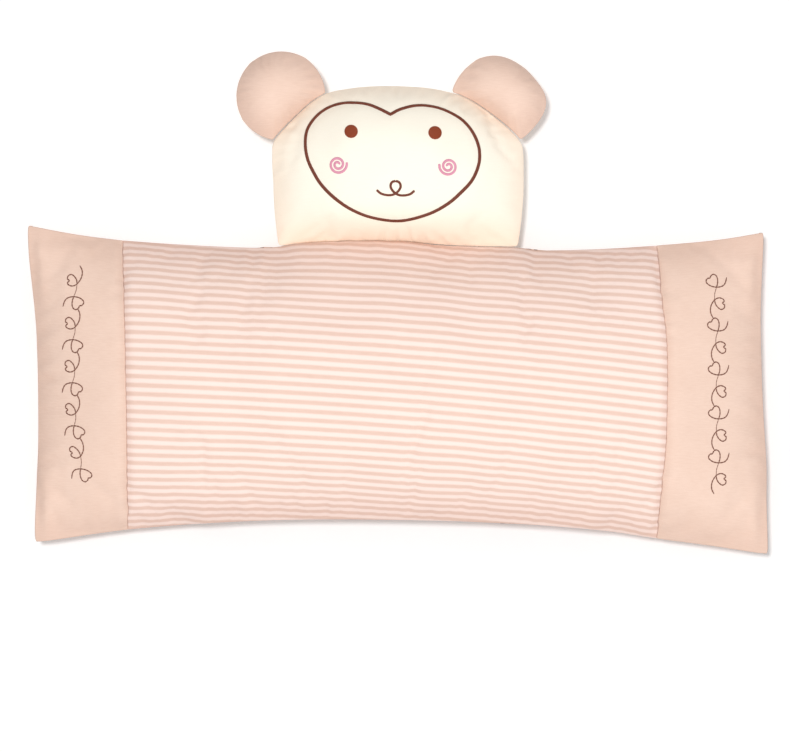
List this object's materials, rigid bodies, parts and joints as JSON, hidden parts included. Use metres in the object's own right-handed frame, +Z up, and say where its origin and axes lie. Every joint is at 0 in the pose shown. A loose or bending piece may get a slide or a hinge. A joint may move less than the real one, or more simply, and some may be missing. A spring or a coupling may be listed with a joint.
{
  "type": "stuffed monkey pillow",
  "caption": "Flat stuffed monkey: striped pillow body with plain embroidered ends, zip-closed cover over an inner pad, folding head with embroidered face, round ears.",
  "frame": {"origin": "under the middle of the outline's box, on the surface that the toy lies on", "axes": "+X along the pillow's length, to the right as seen face up; +Y from the zip edge to the head; +Z up through the thickness, out of the face"},
  "size_m": [0.498, 0.3376, 0.0611],
  "materials": {
    "tan_knit": "plain cotton jersey, soft nap",
    "striped_knit": "yarn-dyed striped cotton jersey",
    "cream_knit": "plain cotton jersey, soft nap",
    "case_cloth": "plain woven cotton",
    "fibre_filling": "loose polyester fibre",
    "brown_thread": "satin embroidery thread",
    "pink_thread": "satin embroidery thread",
    "stabiliser": "non-woven backing",
    "zip_tape": "woven polyester tape",
    "zip_nylon": "moulded nylon coil",
    "zip_metal": "enamelled zinc"
  },
  "bodies": {
    "pillow": {"front_center_panel": "striped_knit", "front_left_panel": "tan_knit", "front_right_panel": "tan_knit", "back_panel": "tan_knit", "inner_case_front": "case_cloth", "inner_case_back": "case_cloth", "pillow_filling": "fibre_filling", "vine_embroidery_left": "brown_thread", "vine_embroidery_right": "brown_thread", "vine_backing_left": "stabiliser", "vine_backing_right": "stabiliser", "zip_tape_upper": "zip_tape", "zip_tape_lower": "zip_tape", "zip_coil_upper": "zip_nylon", "zip_coil_lower": "zip_nylon", "zip_bottom_stop": "zip_metal", "zip_top_stop_upper": "zip_metal", "zip_top_stop_lower": "zip_metal"},
    "head": {"head_front_panel": "cream_knit", "head_back_panel": "cream_knit", "head_filling": "fibre_filling", "face_outline_embroidery": "brown_thread", "face_backing": "stabiliser", "eye_left": "brown_thread", "eye_right": "brown_thread", "cheek_swirl_left": "pink_thread", "cheek_swirl_right": "pink_thread", "nose_mouth_embroidery": "brown_thread"},
    "ear_left": {"ear_left_front": "tan_knit", "ear_left_back": "tan_knit", "ear_left_filling": "fibre_filling"},
    "ear_right": {"ear_right_front": "tan_knit", "ear_right_back": "tan_knit", "ear_right_filling": "fibre_filling"},
    "zip_slider": {"zip_slider_body": "zip_metal"},
    "zip_pull": {"zip_pull": "zip_metal"}
  },
  "joints": [
    {"name": "head_fold", "type": "hinge", "parent": "pillow", "child": "head", "pos_m": [0, 0.03565, 0.016], "axis": [1, 0, 0], "range_deg": [-60, 60], "stiffness_Nm_per_rad": 0.08},
    {"name": "ear_left_fold", "type": "hinge", "parent": "head", "child": "ear_left", "pos_m": [-0.06934, 0.12661, 0.016], "axis": [0.7379, 0.6749, 0], "range_deg": [-45, 60], "stiffness_Nm_per_rad": 0.006},
    {"name": "ear_right_fold", "type": "hinge", "parent": "head", "child": "ear_right", "pos_m": [0.06934, 0.12661, 0.016], "axis": [0.7379, -0.6749, 0], "range_deg": [-45, 60], "stiffness_Nm_per_rad": 0.006},
    {"name": "zip_slide", "type": "slide", "parent": "pillow", "child": "zip_slider", "axis": [-1, 0, 0], "range_m": [0, 0.22]},
    {"name": "zip_pull_swing", "type": "hinge", "parent": "zip_slider", "child": "zip_pull", "pos_m": [0.11, -0.15205, 0.016], "axis": [0, 0, 1], "range_deg": [0, 170]}
  ]
}
